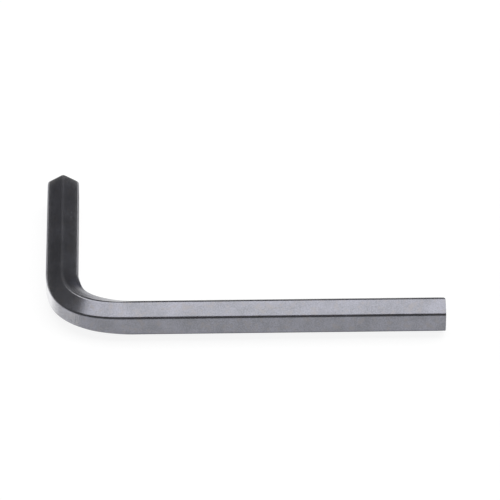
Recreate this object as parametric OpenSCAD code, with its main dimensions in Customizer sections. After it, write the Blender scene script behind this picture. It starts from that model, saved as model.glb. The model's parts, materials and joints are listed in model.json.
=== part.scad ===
// Hex key: one length of hexagon bar, bent once into a long arm and a short arm.
// It lies with its bend level, resting on the lower ridge of both arms.
// The long arm runs along X, the short arm along Y, and the origin is under the middle of the outline.

/* [Bar] */
// Width of the hexagon across its flats
across_flats = 5; // [4:0.1:7]
// Radius on the six long edges of the bar
edge_r = 0.65; // [0.1:0.05:0.8]

/* [Arms] */
// From the outer flat of the short arm to the cut end of the long arm
long_reach = 61; // [40:0.5:100]
// From the outer flat of the long arm to the cut end of the short arm
short_reach = 40.5; // [25:0.5:70]
// Width of the broken edge round both cut ends
end_break = 0.08; // [0.05:0.01:0.3]

/* [Bend] */
// Radius of the bend on the middle of the bar, where the bend starts and ends
bend_r = 11; // [8:0.05:14]
// How far the outer flat stands beyond a plain arc, halfway round
outer_push = 0.92; // [0:0.02:1.2]
// How far the two ridges stand beyond a plain arc, halfway round
ridge_push = 1.16; // [0:0.02:1.6]
// How far the inner flat stands beyond a plain arc, halfway round
inner_push = 0.9; // [0:0.02:1.4]
// What the stretched outer flat loses from each of its sides, halfway round
outer_pinch = 0.34; // [0:0.02:0.5]
// What the crushed inner flat gains on each of its sides, halfway round
inner_spread = 0.42; // [0:0.02:0.6]
// How far the bending tool has pressed the two ridges below those of the arms, halfway round
ridge_press = 0.02; // [0:0.01:0.15]
// Radius on both edges of the level land that it leaves on a ridge, halfway round
land_r = 0.15; // [0.05:0.05:0.4]

/* [Hidden] */
// Length of each side of the hexagon, which is also its centre to a sharp corner
side = across_flats / sqrt(3);
// What the edge radius takes off each corner
corner_loss = edge_r * (2 / sqrt(3) - 1);
// Height of the bar's middle above what the key lies on
middle_z = side - corner_loss;
// How closely the stretching and the crushing keep to the middle of the bend
stretch_power = 2;
crush_power = 4;
// Flat steps in the radius of an outer or inner edge, over a whole ridge (an odd number), and round the bend
edge_steps = 5;
ridge_steps = 7;
bend_steps = 60;
// Where the points of an edge lie along its radius, and those of either side of a ridge along theirs.
// Both sides of a ridge stop half a step short of its middle, so that they never meet in one point.
edge_shares = [for (i = [0:edge_steps]) i / edge_steps];
outer_shares = [for (i = [0:floor(ridge_steps / 2)]) 2 * i / ridge_steps];
inner_shares = [for (i = [len(outer_shares) - 1:-1:0]) 1 - outer_shares[i]];

function unit(v) = v / norm(v);

// Points of the radius on one corner, anticlockwise, given the directions to its neighbours
function round_corner(corner, to_last, to_next, radius, shares) =
    let (
        inward = unit(to_last + to_next),
        half_angle = acos(to_last * inward),
        centre = corner + inward * radius / sin(half_angle),
        heading = atan2(-inward.y, -inward.x),
        spread = 90 - half_angle
    )
    [
        for (share = shares)
            let (turn = heading + spread * (2 * share - 1))
                centre + radius * [cos(turn), sin(turn)]
    ];

// Points over an upper ridge that is cut level at a depth below its sharp crest
function levelled_ridge(outer, ridge, inner, depth, radius) =
    let (
        to_outer = unit(outer - ridge),
        to_inner = unit(inner - ridge),
        outer_land = ridge + to_outer * depth / -to_outer.y,
        inner_land = ridge + to_inner * depth / -to_inner.y
    )
    [
        each round_corner(outer_land, to_outer, [-1, 0], radius, outer_shares),
        each round_corner(inner_land, [1, 0], to_inner, radius, inner_shares)
    ];

// Upper half of the bar's section as [distance towards the outside of the bend, height]
function upper_half(outer, ridge, inner, depth, radius) =
    [
        each round_corner(outer, [0, -1], unit(ridge - outer), edge_r, edge_shares),
        each levelled_ridge(outer, ridge, inner, depth, radius),
        each round_corner(inner, unit(ridge - inner), [0, -1], edge_r, edge_shares)
    ];

// Both halves of a section, anticlockwise
function whole_section(upper) =
    [
        each upper,
        for (i = [len(upper) - 1:-1:0]) [upper[i].x, -upper[i].y]
    ];

// Section of the bar at an angle round the bend: 0 at the long arm and 90 at the short arm
function section(angle) =
    let (
        stretched = pow(sin(2 * angle), stretch_power),
        crushed = pow(sin(2 * angle), crush_power),
        outer = [across_flats / 2 + outer_push * stretched, side / 2 - outer_pinch * stretched],
        ridge = [ridge_push * stretched, side],
        inner = [inner_push * crushed - across_flats / 2, side / 2 + inner_spread * crushed],
        ridge_depth = corner_loss + ridge_press * stretched,
        ridge_r = edge_r - (edge_r - min(land_r, edge_r)) * stretched
    )
    whole_section(upper_half(outer, ridge, inner, ridge_depth, ridge_r));

// A section's points in their place round the bend, with the crossing of the arms' middles at zero
function placed(points, angle) =
    [
        for (p = points)
            [bend_r - (bend_r + p.x) * sin(angle), bend_r - (bend_r + p.x) * cos(angle), p.y]
    ];

// The bend, as one skin through its sections
module bend() {
    count = len(section(0));
    last = bend_steps * count;
    points = [
        for (k = [0:bend_steps])
            let (angle = 90 * k / bend_steps)
                each placed(section(angle), angle)
    ];
    start_face = [for (i = [0:count - 1]) i];
    end_face = [for (i = [count - 1:-1:0]) last + i];
    skin = [
        for (k = [0:bend_steps - 1], i = [0:count - 1])
            let (a = k * count + i, b = k * count + (i + 1) % count)
                each [[a, a + count, b + count], [a, b + count, b]]
    ];
    polyhedron(points = points, faces = [start_face, end_face, each skin], convexity = 4);
}

// What the broken edge takes off six sides of a cut end that lie at one distance from the bar's middle
module end_bevels(distance, first_turn) {
    for (turn = [first_turn:60:first_turn + 300])
        rotate(turn)
            translate([distance, 0, end_break])
                rotate([0, 45, 0])
                    translate([0, -across_flats / 2, -across_flats / 2])
                        cube(across_flats);
}

// One straight arm, from its cut end at zero up to the bend
module arm(length) {
    difference() {
        linear_extrude(height = length) polygon(section(0));
        end_bevels(across_flats / 2, 0);
        end_bevels(middle_z, 30);
    }
}

module long_arm() {
    end_x = long_reach - across_flats / 2;
    translate([end_x, 0, 0]) rotate([90, 0, -90]) arm(end_x - bend_r);
}

module short_arm() {
    end_y = short_reach - across_flats / 2;
    translate([0, end_y, 0]) rotate([90, 0, 0]) arm(end_y - bend_r);
}

module hex_key() {
    outer_corner = [-long_reach / 2, -short_reach / 2, 0];
    color([0.34, 0.34, 0.36])
        translate(outer_corner + [across_flats / 2, across_flats / 2, middle_z]) {
            long_arm();
            bend();
            short_arm();
        }
}

hex_key();
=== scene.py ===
"""A blackened hex key lying on a pale sheet, under a wide soft box with a low reflector beside it.

The key is one hexagon bar, bent once. Its surface is swept along the bar, from one cut end to the other.
Everything is in metres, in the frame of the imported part.
"""

import json
import logging
import math
from dataclasses import dataclass, field
from enum import Enum, IntEnum

import bpy
import numpy as np
from mathutils import Matrix, Vector


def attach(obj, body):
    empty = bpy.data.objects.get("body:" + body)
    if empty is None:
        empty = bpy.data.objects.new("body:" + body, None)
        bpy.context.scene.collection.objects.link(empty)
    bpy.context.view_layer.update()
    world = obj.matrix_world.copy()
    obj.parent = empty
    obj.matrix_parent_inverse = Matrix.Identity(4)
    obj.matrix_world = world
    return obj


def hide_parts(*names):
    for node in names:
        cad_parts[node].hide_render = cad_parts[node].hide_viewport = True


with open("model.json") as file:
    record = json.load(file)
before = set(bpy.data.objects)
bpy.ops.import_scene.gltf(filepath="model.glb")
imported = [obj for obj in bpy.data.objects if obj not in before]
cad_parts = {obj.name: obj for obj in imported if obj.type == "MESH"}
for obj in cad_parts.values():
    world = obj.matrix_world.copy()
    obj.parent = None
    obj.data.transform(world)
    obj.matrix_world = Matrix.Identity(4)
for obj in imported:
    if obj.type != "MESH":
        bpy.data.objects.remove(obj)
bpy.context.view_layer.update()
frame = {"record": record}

LOG = logging.getLogger("hex_key")
MM = 0.001
QUARTER_TURN = math.pi / 2.0
UP = np.array([0.0, 0.0, 1.0])
WHITE = (1.0, 1.0, 1.0, 1.0)
# The middle value of a mottle, which goes from 0 to 1.
HALFWAY = 0.5
# How strongly each finer layer of a mottle shows against the layer before it.
FINER_LAYER = 0.6
KEY_PIECE = "key_bar"
KEY_NODE = "hex_key"
BODY = "root"
STEEL_SLOT = "blackened_steel"


class Mark(Enum):
    """What the key's mesh carries for its finish: each point's place on the bar, its wear with a painted
    reflection on the bend's outer flat, and its painted sheen.
    """

    PLACE = "bar_place"
    WORN = "bar_worn"
    # Painted sheen: 1 where grazing reflections stay whole, 0 where the dark specular tint paints shade
    # into them.
    SHEEN = "bar_sheen"


class Maths(Enum):
    """Operations of the Math node that the finishes and the light use."""

    ADD = "ADD"
    SUBTRACT = "SUBTRACT"
    MULTIPLY = "MULTIPLY"
    DIVIDE = "DIVIDE"
    MAXIMUM = "MAXIMUM"


class ColourMix(IntEnum):
    """Where the Mix node keeps the sockets that two colours go through."""

    FACTOR = 0
    FIRST = 6
    SECOND = 7
    RESULT = 2


@dataclass(frozen=True)
class Mottle:
    """A pattern of soft blotches, about per_mm of them to a millimetre, with finer layers in it.

    Its tone, rise and roughness are how much of it lightens the oxide, raises the surface and roughens
    it.
    """

    per_mm: float
    layers: float
    seed: float
    tone: float = 0.0
    rise: float = 0.0
    roughness: float = 0.0


class Wire:
    """A value that leaves a node. Arithmetic on it adds Math nodes."""

    def __init__(self, bench: "Bench", socket: bpy.types.NodeSocket) -> None:
        """Keeps the socket and the bench that its nodes stand on.

        Args:
            bench: the bench whose tree holds the socket.
            socket: the output that gives the value.
        """
        self.bench = bench
        self.socket = socket

    def joined(self, operation: Maths, first: "Wire | float", second: "Wire | float") -> "Wire":
        """The result of one Math node.

        Args:
            operation: what the node works out.
            first: its first value.
            second: its second value.

        Returns:
            The node's output.
        """
        return self.bench.add("ShaderNodeMath", {"operation": operation.value}, {0: first, 1: second})

    def __add__(self, other: "Wire | float") -> "Wire":
        """This value plus another."""
        return self.joined(Maths.ADD, self, other)

    __radd__ = __add__

    def __sub__(self, other: "Wire | float") -> "Wire":
        """This value less another."""
        return self.joined(Maths.SUBTRACT, self, other)

    def __rsub__(self, other: float) -> "Wire":
        """Another value less this one."""
        return self.joined(Maths.SUBTRACT, other, self)

    def __mul__(self, other: "Wire | float") -> "Wire":
        """This value times another."""
        return self.joined(Maths.MULTIPLY, self, other)

    __rmul__ = __mul__

    def __truediv__(self, other: "Wire | float") -> "Wire":
        """This value divided by another."""
        return self.joined(Maths.DIVIDE, self, other)

    def __rtruediv__(self, other: float) -> "Wire":
        """Another value divided by this one."""
        return self.joined(Maths.DIVIDE, other, self)

    def at_least(self, other: "Wire | float") -> "Wire":
        """The larger of this value and another."""
        return self.joined(Maths.MAXIMUM, self, other)

    def eased(self, start: float, end: float) -> "Wire":
        """A smooth step that is 0 where this value is start and 1 where it is end.

        Args:
            start: the value that gives 0.
            end: the value that gives 1.

        Returns:
            The eased value, kept from 0 to 1.
        """
        settings = {"interpolation_type": "SMOOTHSTEP", "clamp": True}
        return self.bench.add("ShaderNodeMapRange", settings, {0: self, 1: start, 2: end})


@dataclass(frozen=True)
class Bench:
    """The node tree that a finish is put together on."""

    tree: bpy.types.NodeTree

    @classmethod
    def cleared(cls, owner: bpy.types.Material | bpy.types.World) -> "Bench":
        """A bench on the emptied tree of a material or world."""
        owner.use_nodes = True
        owner.node_tree.nodes.clear()
        return cls(owner.node_tree)

    def add(
        self,
        kind: str,
        settings: dict[str, object] | None = None,
        inputs: dict[str | int, object] | None = None,
        output: str | int = 0,
    ) -> Wire | None:
        """Adds one node.

        Args:
            kind: the node's type.
            settings: its own settings, set before its sockets.
            inputs: the value or wire of each socket, by its name or place.
            output: the socket that is handed back, by its name or place.

        Returns:
            The chosen output, or None for a node that has no outputs.
        """
        node = self.tree.nodes.new(kind)
        for name, value in (settings or {}).items():
            setattr(node, name, value)
        for name, value in (inputs or {}).items():
            if isinstance(value, Wire):
                self.tree.links.new(value.socket, node.inputs[name])
            else:
                node.inputs[name].default_value = value
        return Wire(self, node.outputs[output]) if node.outputs else None

    def mark(self, mark: Mark, output: str = "Fac") -> Wire:
        """What the mesh carries under a mark's name."""
        return self.add("ShaderNodeAttribute", {"attribute_name": mark.value}, output=output)

    def turned(self, factor: Wire | float, first: object, second: object) -> Wire:
        """One colour turning into another as the factor goes from 0 to 1."""
        inputs = {ColourMix.FACTOR: factor, ColourMix.FIRST: first, ColourMix.SECOND: second}
        return self.add("ShaderNodeMix", {"data_type": "RGBA"}, inputs, ColourMix.RESULT)

    def stretched(self, place: Wire, factors: tuple[float, float, float]) -> Wire:
        """A place with each of its parts multiplied, which draws a pattern out or squeezes it."""
        return self.add("ShaderNodeVectorMath", {"operation": "MULTIPLY"}, {0: place, 1: factors})

    def clouds(self, place: Wire, mottle: Mottle) -> Wire:
        """Soft blotches from 0 to 1.

        Args:
            place: where on the piece, in metres.
            mottle: the blotches' size, layers and seed.

        Returns:
            The blotches' value.
        """
        inputs = {
            "Vector": place,
            "W": mottle.seed,
            "Scale": mottle.per_mm / MM,
            "Detail": mottle.layers,
            "Roughness": FINER_LAYER,
        }
        return self.add("ShaderNodeTexNoise", {"noise_dimensions": "4D"}, inputs)


@dataclass(frozen=True)
class BlackenedSteel:
    """Drawn steel bar under a thin black oxide: grey, satin, finely mottled and worn bare in places.

    A dark specular tint paints shade into its grazing reflections, except where the painted sheen keeps
    them whole, from the start of the bend to about halfway round and on its outer flat. Near-bare steel
    far round the outer flat is a painted reflection.
    Each range holds the values of a mottle between which what it drives goes from none to full.
    """

    name: str = STEEL_SLOT
    pale: tuple[float, float, float, float] = (0.272, 0.273, 0.312, 1.0)
    deep: tuple[float, float, float, float] = (0.186, 0.189, 0.207, 1.0)
    warm: tuple[float, float, float, float] = (0.248, 0.237, 0.246, 1.0)
    bare: tuple[float, float, float, float] = (0.800, 0.800, 0.820, 1.0)
    # A dark specular tint that paints shade into grazing reflections wherever the painted sheen mark is
    # low.
    dulled: tuple[float, float, float, float] = (0.14, 0.14, 0.15, 1.0)
    blotches: Mottle = Mottle(per_mm=2.8, layers=3.0, seed=0.0, tone=0.1, rise=1.0, roughness=0.12)
    grains: Mottle = Mottle(per_mm=6.5, layers=2.0, seed=3.0, tone=0.5, rise=0.9)
    drifts: Mottle = Mottle(per_mm=0.3, layers=3.0, seed=7.0, tone=0.4, roughness=0.08)
    tints: Mottle = Mottle(per_mm=1.1, layers=2.0, seed=11.0)
    draw_lines: Mottle = Mottle(per_mm=6.0, layers=2.0, seed=5.0, rise=0.2)
    drawn_out: tuple[float, float, float] = (0.1, 1.0, 1.0)
    tone_range: tuple[float, float] = (0.36, 0.64)
    tint: float = 0.7
    tint_range: tuple[float, float] = (0.48, 0.7)
    spotting: float = 1.8
    spot_range: tuple[float, float] = (0.35, 0.65)
    roughness: float = 0.24
    grain_height: float = 0.0028 * MM

    def make(self) -> bpy.types.Material:
        """Builds the material.

        Returns:
            The finished material.
        """
        material = bpy.data.materials.new(self.name)
        bench = Bench.cleared(material)
        here = bench.add("ShaderNodeTexCoord", output="Object")
        place = bench.mark(Mark.PLACE, "Vector")
        blotches = bench.clouds(here, self.blotches)
        grains = bench.clouds(here, self.grains)
        drifts = bench.clouds(here, self.drifts)
        tints = bench.clouds(here, self.tints)
        draw_lines = bench.clouds(bench.stretched(place, self.drawn_out), self.draw_lines)

        tone = self.blotches.tone * blotches + self.grains.tone * grains + self.drifts.tone * drifts
        oxide = bench.turned(tone.eased(*self.tone_range), self.deep, self.pale)
        tinted = bench.turned(self.tint * tints.eased(*self.tint_range), oxide, self.warm)
        # Wear, and far round the bend's outer flat a painted reflection of near-bare steel.
        worn = bench.mark(Mark.WORN)
        spots = grains.eased(*self.spot_range) - HALFWAY
        colour = bench.turned(worn + self.spotting * worn * (1.0 - worn) * spots, tinted, self.bare)
        roughness = (
            self.roughness
            + self.blotches.roughness * (blotches - HALFWAY)
            + self.drifts.roughness * (drifts - HALFWAY)
        )
        height = (
            self.grains.rise * grains
            + self.blotches.rise * blotches
            + self.draw_lines.rise * draw_lines
        )
        bump_inputs = {"Strength": 1.0, "Distance": self.grain_height, "Height": height}
        normal = bench.add("ShaderNodeBump", {}, bump_inputs)
        sockets = {"Base Color": colour, "Roughness": roughness, "Metallic": 1.0, "Normal": normal}
        # Lit and shaded copies: the rubbed one keeps its grazing reflections, the matt one has painted
        # shade on them, and the painted sheen mark chooses between them.
        rubbed = bench.add("ShaderNodeBsdfPrincipled", {}, sockets)
        matt = bench.add("ShaderNodeBsdfPrincipled", {}, {**sockets, "Specular Tint": self.dulled})
        surface = bench.add("ShaderNodeMixShader", {}, {0: bench.mark(Mark.SHEEN), 1: matt, 2: rubbed})
        bench.add("ShaderNodeOutputMaterial", {}, {"Surface": surface})
        return material


@dataclass(frozen=True)
class PaleSheet:
    """The matt sheet that the key lies on: grey to the light, but seen and mirrored as white."""

    name: str = "pale_sheet"
    colour: tuple[float, float, float, float] = (0.18, 0.18, 0.18, 1.0)
    lift: float = 0.87

    def make(self) -> bpy.types.Material:
        """Builds the material. The lift shows only in what is seen and mirrored, and keeps the shadow.

        Returns:
            The finished material.
        """
        material = bpy.data.materials.new(self.name)
        bench = Bench.cleared(material)
        matt = bench.add("ShaderNodeBsdfDiffuse", {}, {"Color": self.colour})
        seen = bench.add("ShaderNodeLightPath", output="Is Camera Ray")
        mirrored = bench.add("ShaderNodeLightPath", output="Is Glossy Ray")
        through = bench.add("ShaderNodeLightPath", output="Is Transmission Ray")
        shown = seen.at_least(mirrored).at_least(through)
        glow = bench.add("ShaderNodeEmission", {}, {"Color": WHITE, "Strength": self.lift * shown})
        both = bench.add("ShaderNodeAddShader", {}, {0: matt, 1: glow})
        bench.add("ShaderNodeOutputMaterial", {}, {"Surface": both})
        return material


@dataclass(frozen=True)
class SoftBox:
    """The light: a wide soft box overhead and a low reflector on the right, in a dim room.

    The soft box's reaches are shares of its height above the key. The reflector sets in between its
    edges, which are the part to the right of a direction of length one. The lowest upward part that
    counts keeps the box's pattern from a division by nothing.
    """

    glow: float = 1.93
    dim: float = 0.165
    left_reach: float = 0.65
    right_reach: float = 1.6
    front_reach: float = 0.33
    back_reach: float = 0.95
    softness: float = 0.03
    reflector_glow: float = 0.8
    reflector_edges: tuple[float, float] = (0.6, 0.8)
    lowest: float = 0.001

    def make(self) -> bpy.types.World:
        """Builds the world that holds the light.

        Returns:
            The world.
        """
        world = bpy.data.worlds.new("soft_box")
        bench = Bench.cleared(world)
        way = bench.add("ShaderNodeTexCoord", output="Generated")
        along_x = bench.add("ShaderNodeSeparateXYZ", {}, {0: way}, "X")
        along_y = bench.add("ShaderNodeSeparateXYZ", {}, {0: way}, "Y")
        upward = bench.add("ShaderNodeSeparateXYZ", {}, {0: way}, "Z")
        height = upward.at_least(self.lowest)
        to_side = along_x / height
        to_back = along_y / height
        inside = (
            self.within(to_side, self.right_reach)
            * self.within(0.0 - to_side, self.left_reach)
            * self.within(to_back, self.back_reach)
            * self.within(0.0 - to_back, self.front_reach)
        )
        reflector = along_x.eased(*self.reflector_edges)
        strength = (self.dim + self.reflector_glow * reflector).at_least(self.glow * inside)
        light = bench.add("ShaderNodeBackground", {}, {"Color": WHITE, "Strength": strength})
        bench.add("ShaderNodeOutputWorld", {}, {"Surface": light})
        return world

    def within(self, distance: Wire, reach: float) -> Wire:
        """How far a direction lies inside one side of the box, from 0 to 1, with a soft edge."""
        return distance.eased(reach + self.softness, reach - self.softness)


@dataclass(frozen=True)
class Outline:
    """One section of the bar: points and outward directions as (away from the bend's middle, up)."""

    points: np.ndarray
    normals: np.ndarray

    def joined(self, other: "Outline") -> "Outline":
        """This outline with another one after it."""
        return Outline(np.vstack([self.points, other.points]), np.vstack([self.normals, other.normals]))

    def led_to(self, other: "Outline", steps: int) -> "Outline":
        """This outline, a straight side in even steps, and another outline.

        Args:
            other: the outline at the side's far end.
            steps: how many pieces the side has.

        Returns:
            All three as one.
        """
        share = np.linspace(0.0, 1.0, steps + 1)[1:-1, None]
        points = self.points[-1] * (1.0 - share) + other.points[0] * share
        normals = np.repeat(other.normals[:1], steps - 1, axis=0)
        return self.joined(Outline(points, normals)).joined(other)

    def reversed(self) -> "Outline":
        """This outline in the opposite order, with its outward directions put right."""
        return Outline(self.points[::-1], -self.normals[::-1])

    def mirrored(self) -> "Outline":
        """This outline upside down, in the opposite order."""
        flip = np.array([1.0, -1.0])
        return Outline(self.points[::-1] * flip, self.normals[::-1] * flip)


@dataclass(frozen=True)
class HexBar:
    """The drawn bar and how the bend pulls its section out of shape, in metres.

    What the bend adds is given for halfway round it. An edge of the ridge's land starts an ease down the
    side and ends a roll along the land. In the arms the land has the crest's width, and the ease there
    is given in corner losses.
    """

    across_flats: float = 5.0 * MM
    edge_radius: float = 0.65 * MM
    outer_push: float = 0.92 * MM
    ridge_push: float = 1.16 * MM
    inner_push: float = 0.9 * MM
    outer_pinch: float = 0.34 * MM
    inner_spread: float = 0.42 * MM
    ridge_press: float = 0.02 * MM
    inner_crown: float = 0.06 * MM
    land_ease: float = 0.14 * MM
    land_roll: float = 0.05 * MM
    crest_width: float = 0.02 * MM
    arm_ease_losses: float = 6.0
    stretch_power: float = 2.0
    crush_power: float = 4.0
    edge_steps: int = 16
    land_steps: int = 9
    side_steps: int = 8

    @property
    def side(self) -> float:
        """Length of each side of the hexagon."""
        return self.across_flats / math.sqrt(3.0)

    @property
    def corner_loss(self) -> float:
        """What the edge radius takes off each corner of the arms."""
        return self.edge_radius * (2.0 / math.sqrt(3.0) - 1.0)

    def corner(self, at: np.ndarray, to_last: np.ndarray, to_next: np.ndarray) -> Outline:
        """One rounded edge of the section.

        Args:
            at: the sharp corner.
            to_last: direction to the corner before it.
            to_next: direction to the corner after it.

        Returns:
            The edge as an outline, anticlockwise.
        """
        inward = unit(to_last + to_next)
        half_angle = math.acos(float(to_last @ inward))
        centre = at + inward * self.edge_radius / math.sin(half_angle)
        heading = math.atan2(-inward[1], -inward[0])
        turns = heading + (QUARTER_TURN - half_angle) * np.linspace(-1.0, 1.0, self.edge_steps + 1)
        normals = np.stack([np.cos(turns), np.sin(turns)], axis=1)
        return Outline(centre + self.edge_radius * normals, normals)

    def land_edge(
        self,
        at: np.ndarray,
        to_side: np.ndarray,
        to_land: np.ndarray,
        ease: float,
        roll: float,
    ) -> Outline:
        """One edge of the level land on a ridge, from the sloping side up to the land.

        Args:
            at: the sharp corner between the side and the land.
            to_side: direction down the side.
            to_land: direction along the land.
            ease: how far down the side the edge starts.
            roll: how far along the land it ends.

        Returns:
            The edge as an outline.
        """
        share = np.linspace(0.0, 1.0, self.land_steps + 1)[:, None]
        points = at + ease * (1.0 - share) ** 2 * to_side + roll * share**3 * to_land
        along = 3.0 * roll * share**2 * to_land - 2.0 * ease * (1.0 - share) * to_side
        return Outline(points, facing_right(along))

    def ridge_top(self, angle: float) -> Outline:
        """The upper ridge, which the bending tool has pressed level.

        Args:
            angle: the angle round the bend, in radians.

        Returns:
            The ridge, whose land has all but no width in the arms.
        """
        outer, ridge, inner = self.corners(angle)
        stretched = self.stretched(angle)
        to_outer = unit(outer - ridge)
        to_inner = unit(inner - ridge)
        outer_land, inner_land = self.land_corners(angle)
        arm_ease = self.arm_ease_losses * self.corner_loss
        arm_roll = self.corner_loss * math.sqrt(3.0) - self.crest_width / 2.0
        ease = arm_ease + (self.land_ease - arm_ease) * stretched
        roll = arm_roll + (self.land_roll - arm_roll) * stretched
        level = np.array([1.0, 0.0])
        outer_edge = self.land_edge(outer_land, to_outer, -level, ease, roll)
        inner_edge = self.land_edge(inner_land, to_inner, level, ease, roll).reversed()
        return outer_edge.joined(inner_edge)

    def crowned(self, outline: Outline, start: np.ndarray, end: np.ndarray, crown: float) -> Outline:
        """An outline with the side between two corners standing proud in its middle.

        Args:
            outline: the points near that side.
            start: the sharp corner that the side starts from.
            end: the sharp corner that it ends at.
            crown: how far its middle stands proud.

        Returns:
            The changed outline.
        """
        length = float(np.linalg.norm(end - start))
        along = unit(end - start)
        outward = np.array([along[1], -along[0]])
        share = np.clip((outline.points - start) @ along / length, 0.0, 1.0)[:, None]
        rise = crown * np.sin(math.pi * share) ** 2
        slope = crown * math.pi / length * np.sin(2.0 * math.pi * share)
        return Outline(outline.points + rise * outward, unit_rows(outline.normals - slope * along))

    def stretched(self, angle: float) -> float:
        """How far the bend has stretched the section at an angle round it, from 0 to 1."""
        return abs(math.sin(2.0 * angle)) ** self.stretch_power

    def crushed(self, angle: float) -> float:
        """How far the bend has crushed the section at an angle round it, from 0 to 1."""
        return abs(math.sin(2.0 * angle)) ** self.crush_power

    def corners(self, angle: float) -> tuple[np.ndarray, np.ndarray, np.ndarray]:
        """The sharp corners that the upper half of a section is rounded from.

        Args:
            angle: the angle round the bend, in radians.

        Returns:
            The corner on the outside of the bend, the ridge, and the corner on the inside.
        """
        stretched = self.stretched(angle)
        crushed = self.crushed(angle)
        half = self.across_flats / 2.0
        outer_top = self.side / 2.0 - self.outer_pinch * stretched
        inner_top = self.side / 2.0 + self.inner_spread * crushed
        outer = np.array([half + self.outer_push * stretched, outer_top])
        ridge = np.array([self.ridge_push * stretched, self.side])
        inner = np.array([self.inner_push * crushed - half, inner_top])
        return outer, ridge, inner

    def land_corners(self, angle: float) -> list[np.ndarray]:
        """The sharp corners on the outer and the inner side of the land that tops the ridge.

        Args:
            angle: the angle round the bend, in radians.

        Returns:
            Both corners.
        """
        outer, ridge, inner = self.corners(angle)
        depth = self.corner_loss + self.ridge_press * self.stretched(angle)
        ways = (unit(outer - ridge), unit(inner - ridge))
        return [ridge - way * depth / way[1] for way in ways]

    def outline(self, angle: float) -> Outline:
        """The bar's section at an angle round the bend, from 0 at the long arm to a quarter turn.

        Args:
            angle: the angle, in radians.

        Returns:
            The whole outline, anticlockwise.
        """
        outer, ridge, inner = self.corners(angle)
        down = np.array([0.0, -1.0])
        outer_corner = self.corner(outer, down, unit(ridge - outer))
        top = self.ridge_top(angle)
        inner_corner = self.corner(inner, unit(ridge - inner), down)
        upper = outer_corner.led_to(top, self.side_steps).led_to(inner_corner, self.side_steps)
        upper = self.crowned(upper, ridge, inner, self.inner_crown * self.crushed(angle))
        return upper.joined(upper.mirrored())


@dataclass(frozen=True)
class Wear:
    """Where the oxide is worn, in shares from 0, untouched, to 1, down to the steel.

    Handling has worn the short arm's side edges and its cut end and left fine specks all over it, and
    the bending tool has rubbed the outer flat a little and both edges of the ridge's land. Further round
    the outer flat, near-bare steel is a painted reflection of the bright sheet that the flat mirrors at a
    grazing angle. The sheen is painted as well: it keeps grazing reflections whole on the first half of
    the bend and on its outer flat, and elsewhere the steel's dark specular tint paints shade into them.
    Turns are shares of the way round the bend, from the long arm, between which a mark sets in or fades
    out. A fade is the distance over which a mark falls off. The surface counts as the outer flat by how
    squarely it faces away from the bend's middle.
    """

    specks: float = 0.06
    speck_turns: tuple[float, float] = (0.35, 0.6)
    edge: float = 0.85
    edge_fade: float = 0.3 * MM
    edge_turns: tuple[float, float] = (0.6, 1.0)
    end: float = 0.9
    end_fade: float = 0.7 * MM
    flat: float = 0.14
    flat_turns: tuple[float, float] = (0.36, 0.43)
    # Painted reflection: near-bare steel far round the outer flat stands in for the bright sheet that it
    # mirrors at a grazing angle.
    scuff: float = 0.86
    scuff_turns: tuple[float, float] = (0.55, 0.77)
    flat_facing: tuple[float, float] = (0.9, 0.99)
    arm_turns: tuple[float, float] = (0.9, 1.0)
    land: float = 0.5
    land_fade: float = 0.045 * MM
    land_turns: tuple[float, float] = (0.3, 0.48)
    # Turns where the painted sheen sets in on the bend, and where it gives way to painted shade again.
    rubbed_turns: tuple[float, float] = (0.0, 0.15)
    matt_turns: tuple[float, float] = (0.5, 0.7)

    def of(self, bar: HexBar, outline: Outline, angle: float, to_short_end: float) -> np.ndarray:
        """How worn each point of a section is, with the painted reflection on the outer flat added in.

        Args:
            bar: the bar.
            outline: its section.
            angle: the angle round the bend there, in radians.
            to_short_end: how far it is along the bar to the short arm's cut end.

        Returns:
            One share a point.
        """
        outer, _, inner = bar.corners(angle)
        turn = angle / QUARTER_TURN
        by_edges = self.near(outline, [outer, inner], self.edge_fade)
        edges = self.edge * by_edges * eased(turn, *self.edge_turns)
        # Rubbed wear on the outer flat, and further round it a painted reflection.
        rubbed = self.flat * eased(turn, *self.flat_turns) + self.scuff * eased(turn, *self.scuff_turns)
        flat = rubbed * self.on_flat(outline, turn)
        pressed = bar.crushed(angle) * eased(turn, *self.land_turns)
        land = self.land * pressed * self.near(outline, bar.land_corners(angle), self.land_fade)
        end = self.end * math.exp(-to_short_end / self.end_fade)
        specks = self.specks * eased(turn, *self.speck_turns)
        return np.clip(edges + flat + land + end + specks, 0.0, 1.0)

    def sheen(self, outline: Outline, angle: float) -> np.ndarray:
        """The painted sheen: how far each point keeps its grazing reflections whole instead of darkened
        by painted shade, from 0 to 1.
        """
        turn = angle / QUARTER_TURN
        bend = eased(turn, *self.rubbed_turns) * (1.0 - eased(turn, *self.matt_turns))
        return np.maximum(bend, eased(turn, *self.rubbed_turns) * self.on_flat(outline, turn))

    def on_flat(self, outline: Outline, turn: float) -> np.ndarray:
        """How far each point is on the bend's outer flat, from 0 to 1."""
        return eased(outline.normals[:, 0], *self.flat_facing) * (1.0 - eased(turn, *self.arm_turns))

    @staticmethod
    def near(outline: Outline, corners: list[np.ndarray], fade: float) -> np.ndarray:
        """How near each point is to the nearest of some upper corners or their mirror images.

        Args:
            outline: the section.
            corners: the corners.
            fade: the distance over which nearness falls off.

        Returns:
            One share a point.
        """
        folded = np.stack([outline.points[:, 0], np.abs(outline.points[:, 1])], axis=1)
        distances = [np.linalg.norm(folded - corner, axis=1) for corner in corners]
        return np.exp(-np.min(distances, axis=0) / fade)


@dataclass(frozen=True)
class Ring:
    """One ring of the key's surface, with the marks that its finish needs."""

    points: np.ndarray
    normals: np.ndarray
    places: np.ndarray
    worn: np.ndarray
    sheen: np.ndarray


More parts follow.
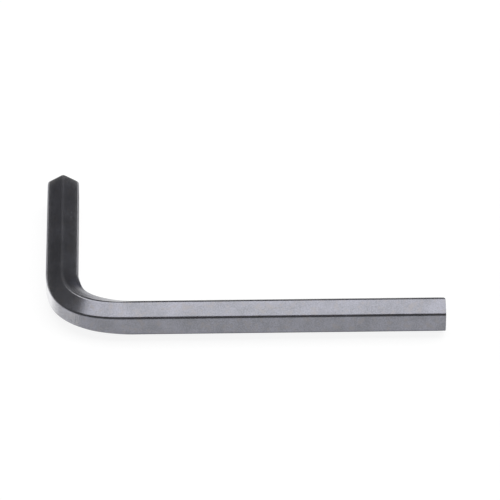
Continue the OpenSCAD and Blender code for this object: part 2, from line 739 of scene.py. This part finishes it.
@dataclass(frozen=True)
class HexKey:
    """The key: the bar bent once, lying with its bend level.

    The middles of its two arms meet at the crossing, and each arm reaches from there to its cut end. By a
    cut end the bar rolls over slightly and its edge is broken. The oxide is whole on the cut face, up to
    the face share of the way to its rim.
    """

    crossing: np.ndarray
    long_reach: float
    short_reach: float
    bar: HexBar = field(default_factory=HexBar)
    wear: Wear = field(default_factory=Wear)
    bend_radius: float = 11.0 * MM
    end_break: float = 0.08 * MM
    roll_over: float = 0.02 * MM
    roll_length: float = 1.4 * MM
    face_share: float = 0.88
    arm_pitch: float = 1.5 * MM
    bend_rings: int = 96
    break_rings: int = 4
    roll_rings: int = 8

    @classmethod
    def between_mounts(cls, mounts: list[dict]) -> "HexKey":
        """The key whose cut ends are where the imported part's mounts are.

        Args:
            mounts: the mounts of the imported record.

        Returns:
            The key.
        """
        places = {mount["name"]: np.array(mount["pos_m"]) for mount in mounts}
        long_end = places["long_end"]
        short_end = places["short_end"]
        crossing = np.array([short_end[0], long_end[1], long_end[2]])
        return cls(crossing, long_end[0] - crossing[0], short_end[1] - crossing[1])

    @property
    def long_straight(self) -> float:
        """Length of the long arm up to the bend."""
        return self.long_reach - self.bend_radius

    @property
    def short_straight(self) -> float:
        """Length of the short arm up to the bend."""
        return self.short_reach - self.bend_radius

    @property
    def bend_run(self) -> float:
        """Length of the bend, along the middle of the bar."""
        return self.bend_radius * QUARTER_TURN

    @property
    def total(self) -> float:
        """Length of the whole bar, along its middle."""
        return self.long_straight + self.bend_run + self.short_straight

    def build(self) -> bpy.types.Object:
        """Builds the key's surface, from the long arm's cut end to the short arm's.

        Returns:
            The key.
        """
        rings = [self.ring(run, 0.0) for run in self.arm_runs(self.long_straight)]
        for share in np.linspace(0.0, 1.0, self.bend_rings + 1)[1:-1]:
            rings.append(self.ring(self.long_straight + self.bend_run * share, QUARTER_TURN * share))
        for run in reversed(self.arm_runs(self.short_straight)):
            rings.append(self.ring(self.total - run, QUARTER_TURN))
        return self.skinned([self.face_ring(rings[0]), *rings, self.face_ring(rings[-1])])

    def face_ring(self, rim: Ring) -> Ring:
        """A ring on the face of a cut end, inside its rim, where the oxide is whole."""
        middle = rim.points.mean(axis=0)
        points = middle + self.face_share * (rim.points - middle)
        return Ring(points, rim.normals, rim.places, np.zeros(len(points)), rim.sheen)

    def arm_runs(self, length: float) -> list[float]:
        """Where an arm's rings lie, measured from its cut end.

        Args:
            length: the arm's straight length.

        Returns:
            The places, close together by the cut and even along the rest.
        """
        turns = np.linspace(0.0, QUARTER_TURN, self.break_rings + 1)
        broken = self.end_break * (1.0 - np.cos(turns))
        rolled = np.linspace(self.end_break, self.roll_length, self.roll_rings + 1)[1:]
        count = math.ceil((length - self.roll_length) / self.arm_pitch)
        even = np.linspace(self.roll_length, length, count + 1)[1:]
        return [*broken, *rolled, *even]

    def ring(self, run: float, angle: float) -> Ring:
        """One ring of the surface.

        Args:
            run: how far along the bar it lies, from the long arm's cut end.
            angle: the angle round the bend there, in radians.

        Returns:
            The ring.
        """
        outline = self.bar.outline(angle)
        from_end = min(run, self.total - run)
        inset, lean = self.end_form(from_end)
        towards_end = self.forward(angle) * (1.0 if run > self.total / 2.0 else -1.0)
        points = self.middle(run, angle) + self.raised(outline.points - outline.normals * inset, angle)
        in_bend = 0.0 < angle < QUARTER_TURN
        facing = self.bend_facing(outline, angle) if in_bend else self.raised(outline.normals, angle)
        normals = facing * math.cos(lean) + towards_end * math.sin(lean)
        steps = np.linalg.norm(np.diff(outline.points, axis=0), axis=1)
        around = np.concatenate([[0.0], np.cumsum(steps)])
        count = len(points)
        places = np.stack([np.full(count, run), around, np.zeros(count)], axis=1)
        # Wear, with the painted reflection on the outer flat counted in.
        worn = self.wear.of(self.bar, outline, angle, self.total - run)
        # The ring's painted sheen, which keeps its grazing reflections out of the painted shade.
        return Ring(points, normals, places, worn, self.wear.sheen(outline, angle))

    def end_form(self, from_end: float) -> tuple[float, float]:
        """How the bar draws in by a cut end.

        Args:
            from_end: distance from the nearer cut end.

        Returns:
            How far the surface lies inside the full section, and how far it leans towards the end.
        """
        share = max(0.0, 1.0 - from_end / self.roll_length)
        inset = self.roll_over * share**2
        lean = math.atan(2.0 * self.roll_over * share / self.roll_length)
        if from_end < self.end_break:
            rise = 1.0 - from_end / self.end_break
            inset += self.end_break * (1.0 - math.sqrt(max(0.0, 1.0 - rise**2)))
            lean = max(lean, math.asin(rise))
        return inset, lean

    def forward(self, angle: float) -> np.ndarray:
        """Direction along the bar at an angle round the bend, from the long arm to the short one."""
        return np.array([-math.cos(angle), math.sin(angle), 0.0])

    def raised(self, flat: np.ndarray, angle: float) -> np.ndarray:
        """What a section holds as (away from the bend's middle, up), in the key's own directions."""
        outward = np.array([-math.sin(angle), -math.cos(angle), 0.0])
        return flat[:, :1] * outward + flat[:, 1:] * UP

    def middle(self, run: float, angle: float) -> np.ndarray:
        """The middle of the bar.

        Args:
            run: how far along the bar, from the long arm's cut end.
            angle: the angle round the bend there, in radians.

        Returns:
            The place.
        """
        if angle <= 0.0:
            return self.crossing + np.array([self.long_reach - run, 0.0, 0.0])
        if angle >= QUARTER_TURN:
            return self.crossing + np.array([0.0, self.short_reach - (self.total - run), 0.0])
        bend_place = np.array([1.0 - math.sin(angle), 1.0 - math.cos(angle), 0.0])
        return self.crossing + self.bend_radius * bend_place

    def bend_points(self, angle: float) -> np.ndarray:
        """Every point of the bend's surface at an angle round it."""
        run = self.long_straight + self.bend_radius * angle
        return self.middle(run, angle) + self.raised(self.bar.outline(angle).points, angle)

    def bend_facing(self, outline: Outline, angle: float) -> np.ndarray:
        """Outward directions of the bend's surface, which its changing section tilts.

        Args:
            outline: the section there.
            angle: the angle round the bend, in radians.

        Returns:
            One direction a point.
        """
        nudge = 0.001
        along = self.bend_points(angle + nudge) - self.bend_points(angle - nudge)
        facing = self.raised(outline.normals, angle)
        across = self.raised(outline.normals[:, ::-1] * np.array([-1.0, 1.0]), angle)
        tilted = unit_rows(np.cross(along, across))
        return tilted * np.sign(np.sum(tilted * facing, axis=1))[:, None]

    def skinned(self, rings: list[Ring]) -> bpy.types.Object:
        """Joins the rings into one closed mesh and gives it its marks.

        Args:
            rings: the rings, from one cut end to the other.

        Returns:
            The key.
        """
        first_cap = self.cap(rings[0], -self.forward(0.0))
        last_cap = self.cap(rings[-1], self.forward(QUARTER_TURN))
        parts = [*rings, first_cap, last_cap]
        points = np.vstack([part.points for part in parts])
        mesh = bpy.data.meshes.new(KEY_PIECE)
        mesh.from_pydata(points.tolist(), [], self.faces(len(rings), len(rings[0].points)))
        mesh.polygons.foreach_set("use_smooth", [True] * len(mesh.polygons))
        normals = unit_rows(np.vstack([part.normals for part in parts]))
        mesh.normals_split_custom_set_from_vertices(normals.tolist())
        self.put(mesh, Mark.PLACE, np.vstack([part.places for part in parts]))
        self.put(mesh, Mark.WORN, np.concatenate([part.worn for part in parts]))
        self.put(mesh, Mark.SHEEN, np.concatenate([part.sheen for part in parts]))
        mesh.validate()
        return linked(KEY_PIECE, mesh)

    @staticmethod
    def cap(rim: Ring, facing: np.ndarray) -> Ring:
        """The middle of a cut face, as a ring of one point that has no marks."""
        middle = rim.points.mean(axis=0, keepdims=True)
        return Ring(middle, facing[None, :], np.zeros_like(middle), np.zeros(1), np.zeros(1))

    @staticmethod
    def faces(rings: int, count: int) -> list[tuple[int, ...]]:
        """The faces from ring to ring and over both cut ends.

        Args:
            rings: how many rings there are.
            count: how many points each of them has.

        Returns:
            The faces' points, by their places, with those of the two caps after the rings'.
        """
        faces = []
        for ring in range(rings - 1):
            for step in range(count):
                near = ring * count + step
                beside = ring * count + (step + 1) % count
                faces.append((near, beside, beside + count, near + count))
        first_cap = rings * count
        last_ring = first_cap - count
        for step in range(count):
            after = (step + 1) % count
            faces.append((first_cap, after, step))
            faces.append((first_cap + 1, last_ring + step, last_ring + after))
        return faces

    @staticmethod
    def put(mesh: bpy.types.Mesh, mark: Mark, values: np.ndarray) -> None:
        """Writes one mark on the mesh's points.

        Args:
            mesh: the mesh.
            mark: the mark's name.
            values: a number or a place for each point.
        """
        kind, part = ("FLOAT_VECTOR", "vector") if values.ndim > 1 else ("FLOAT", "value")
        attribute = mesh.attributes.new(mark.value, kind, "POINT")
        attribute.data.foreach_set(part, values.astype(np.float32).ravel())

    def dress(self, key: bpy.types.Object, steel: BlackenedSteel) -> None:
        """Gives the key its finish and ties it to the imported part.

        Args:
            key: the key.
            steel: its finish.
        """
        key.data.materials.append(steel.make())
        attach(key, BODY)
        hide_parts(KEY_NODE)


@dataclass(frozen=True)
class Studio:
    """The round sheet that the key lies on, which rises gently towards its rim, and the light."""

    radius: float = 2.9
    level_radius: float = 1.2
    rim_height: float = 0.25
    rings: int = 24
    spokes: int = 96
    sheet: PaleSheet = field(default_factory=PaleSheet)
    light: SoftBox = field(default_factory=SoftBox)

    def build(self) -> bpy.types.Object:
        """Builds the sheet and hangs the light.

        Returns:
            The sheet.
        """
        rim_width = self.radius - self.level_radius
        steps = np.linspace(0.0, 1.0, self.rings + 1)[1:]
        radii = [*(self.level_radius * steps), *(self.level_radius + rim_width * steps)]
        corners = [(0.0, 0.0, 0.0)]
        for radius in radii:
            share = max(0.0, (radius - self.level_radius) / rim_width)
            height = self.rim_height * share**2
            for spoke in range(self.spokes):
                turn = 2.0 * math.pi * spoke / self.spokes
                corners.append((radius * math.cos(turn), radius * math.sin(turn), height))
        faces = [(0, 1 + spoke, 1 + (spoke + 1) % self.spokes) for spoke in range(self.spokes)]
        for ring in range(len(radii) - 1):
            for spoke in range(self.spokes):
                near = 1 + ring * self.spokes + spoke
                beside = 1 + ring * self.spokes + (spoke + 1) % self.spokes
                faces.append((near, near + self.spokes, beside + self.spokes, beside))
        mesh = bpy.data.meshes.new(self.sheet.name)
        mesh.from_pydata(corners, [], faces)
        mesh.polygons.foreach_set("use_smooth", [True] * len(mesh.polygons))
        mesh.materials.append(self.sheet.make())
        floor = linked(self.sheet.name, mesh)
        bpy.context.scene.world = self.light.make()
        bpy.context.scene.view_settings.view_transform = "Standard"
        return floor


@dataclass(frozen=True)
class Viewpoint:
    """The photograph's camera: where it stands, how it is turned and how long its lens is.

    It aims at a point given from where the middles of the arms meet, which the picture shows at
    aim_across and aim_down, in pixels. Angles are in degrees.
    """

    picture: float = 500.0
    aim: tuple[float, float, float] = (24.0 * MM, 4.0 * MM, 0.0)
    aim_across: float = 218.4061
    aim_down: float = 302.4725
    distance: float = 0.60765
    heading: float = -2.0587
    elevation: float = 31.9663
    roll: float = 0.4426
    focal_pixels: float = 3962.72
    sensor: float = 36.0
    nearest: float = 0.05
    farthest: float = 20.0

    def place(self, crossing: np.ndarray) -> bpy.types.Object:
        """Sets the camera up.

        Args:
            crossing: where the middles of the two arms meet.

        Returns:
            The camera.
        """
        turn = Matrix.Rotation(math.radians(self.heading), 3, "Z")
        down = math.radians(self.elevation)
        right = turn @ Vector((1.0, 0.0, 0.0))
        ahead = turn @ Vector((0.0, math.cos(down), -math.sin(down)))
        above = right.cross(ahead)
        roll = math.radians(self.roll)
        rolled_right = right * math.cos(roll) + above * math.sin(roll)
        rolled_above = above * math.cos(roll) - right * math.sin(roll)
        pixel = self.distance / self.focal_pixels
        middle = self.picture / 2.0
        stand = Vector(crossing) + Vector(self.aim) - ahead * self.distance
        stand -= rolled_right * (self.aim_across - middle) * pixel
        stand += rolled_above * (self.aim_down - middle) * pixel
        lens = bpy.data.cameras.new("camera")
        lens.lens = self.focal_pixels / self.picture * self.sensor
        lens.sensor_width = self.sensor
        lens.clip_start = self.nearest
        lens.clip_end = self.farthest
        camera = linked("camera", lens)
        axes = Matrix((rolled_right, rolled_above, -ahead)).transposed()
        camera.matrix_world = Matrix.Translation(stand) @ axes.to_4x4()
        bpy.context.scene.camera = camera
        return camera


def unit(vector: np.ndarray) -> np.ndarray:
    """A direction of length one."""
    return vector / np.linalg.norm(vector)


def unit_rows(vectors: np.ndarray) -> np.ndarray:
    """Directions of length one, a row each."""
    return vectors / np.linalg.norm(vectors, axis=1)[:, None]


def linked(name: str, data: bpy.types.Mesh | bpy.types.Camera) -> bpy.types.Object:
    """A new object in the scene, made of a mesh or a camera's lens."""
    thing = bpy.data.objects.new(name, data)
    bpy.context.scene.collection.objects.link(thing)
    return thing


def eased(value: float | np.ndarray, start: float, end: float) -> float | np.ndarray:
    """A smooth step that is 0 where a value is start and 1 where it is end."""
    share = np.clip((value - start) / (end - start), 0.0, 1.0)
    return share * share * (3.0 - 2.0 * share)


def facing_right(along: np.ndarray) -> np.ndarray:
    """The direction of length one to the right of each direction of travel."""
    return unit_rows(np.stack([along[:, 1], -along[:, 0]], axis=1))


def main() -> None:
    """Builds the key, the studio and the camera, and notes the sizes."""
    logging.basicConfig(level=logging.INFO, format="%(message)s")

    hex_key = HexKey.between_mounts(frame["record"]["mounts"])
    key = hex_key.build()
    hex_key.dress(key, BlackenedSteel())
    LOG.info("%s: %d faces", key.name, len(key.data.polygons))

    floor = Studio().build()
    LOG.info("%s: %d faces", floor.name, len(floor.data.polygons))

    camera = Viewpoint().place(hex_key.crossing)
    LOG.info("%s: %.0f mm lens", camera.name, camera.data.lens)


if __name__ == "__main__":
    main()
